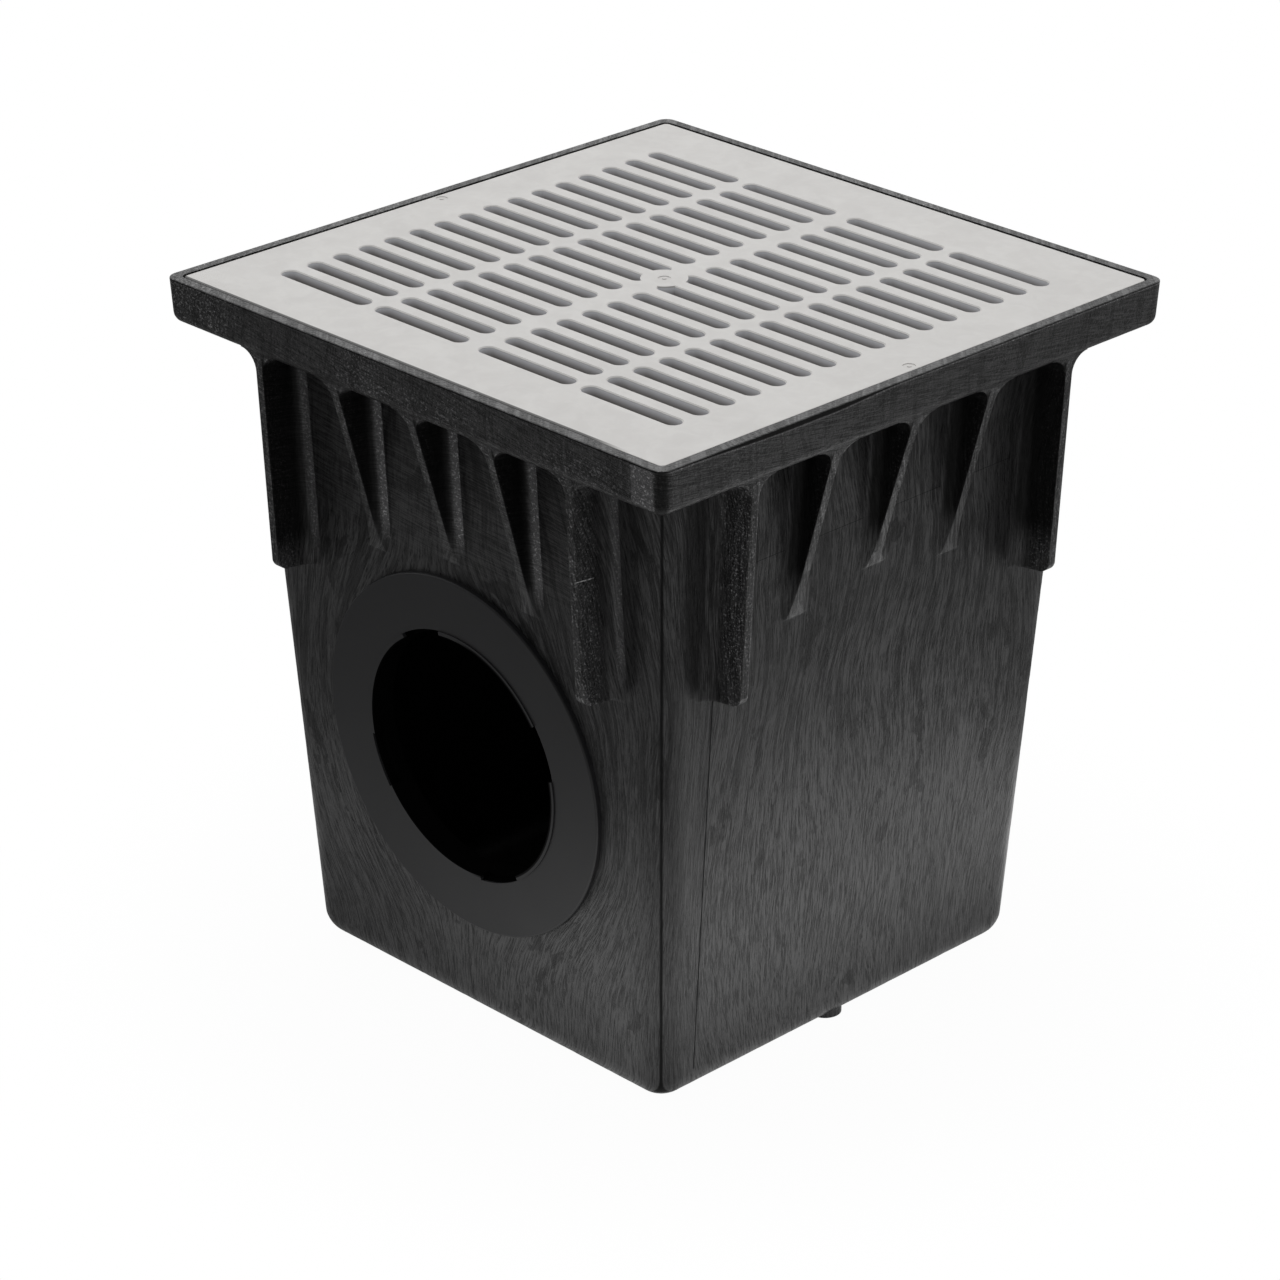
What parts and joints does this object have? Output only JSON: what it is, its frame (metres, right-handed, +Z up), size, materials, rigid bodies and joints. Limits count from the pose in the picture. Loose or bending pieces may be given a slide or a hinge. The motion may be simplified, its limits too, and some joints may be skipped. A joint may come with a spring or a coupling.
{
  "type": "catch basin with grate",
  "caption": "Square tapered plastic catch basin with a flush slotted grate in its rim and a round outlet ring in the front wall.",
  "frame": {"origin": "on the ground under the middle of the basin", "axes": "+Z up, the outlet in the front wall that faces -Y, the slots run along X"},
  "size_m": [0.469, 0.469, 0.4927],
  "materials": {
    "basin_plastic": "black structural foam with swirling flow streaks",
    "grate_plastic": "light grey, faintly streaked",
    "ring_plastic": "smooth matt black"
  },
  "bodies": {
    "root": {"basin": "basin_plastic", "grate": "grate_plastic", "outlet_ring": "ring_plastic"}
  },
  "joints": []
}
